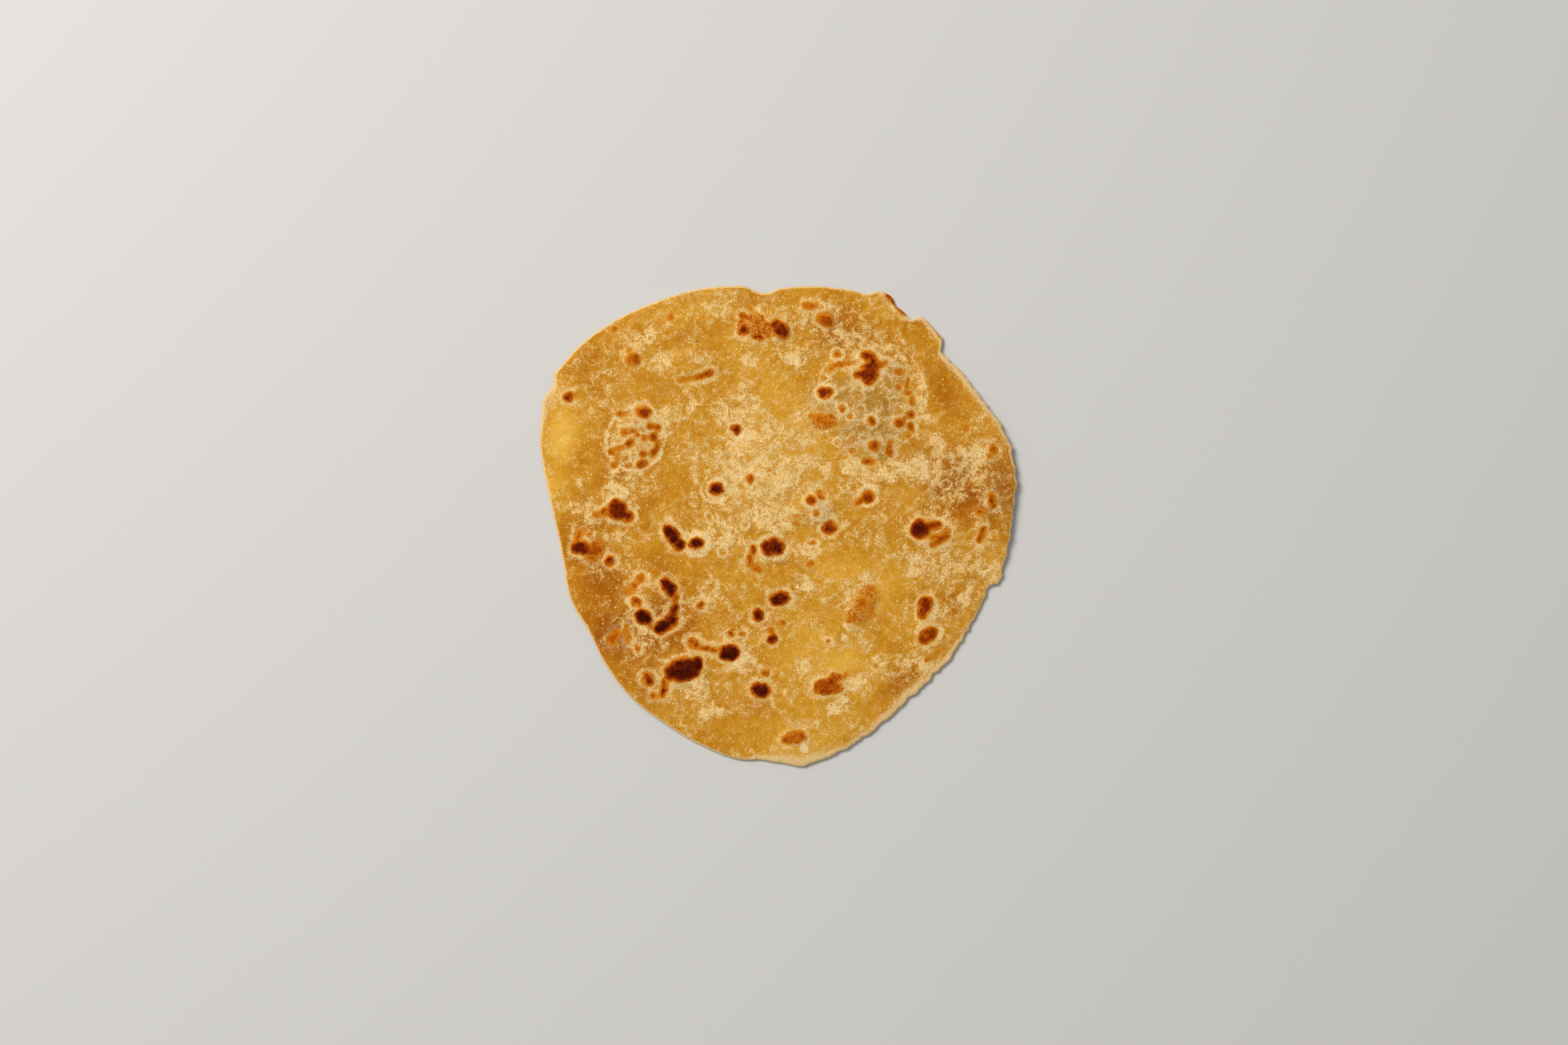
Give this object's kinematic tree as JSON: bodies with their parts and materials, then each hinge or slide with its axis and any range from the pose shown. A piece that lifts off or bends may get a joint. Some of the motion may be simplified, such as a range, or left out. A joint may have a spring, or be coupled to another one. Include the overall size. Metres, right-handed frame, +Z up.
{
  "type": "chapati",
  "caption": "Thin round unleavened flatbread with an uneven rim, low bubbles and browned blisters, lying flat and ready to serve.",
  "frame": {"origin": "under the middle of the bread's box, on the surface that it lies on", "axes": "+Z up through the thickness, browned and blistered face upwards; +X towards the crumbled side of the rim, and the torn lobe lies between +X and +Y"},
  "size_m": [0.1706, 0.172, 0.0044],
  "materials": {
    "crust": "golden dry-baked wheat crust with browned blisters, dusted with flour and slightly oily"
  },
  "bodies": {
    "root": {"chapati": "crust"}
  },
  "joints": []
}
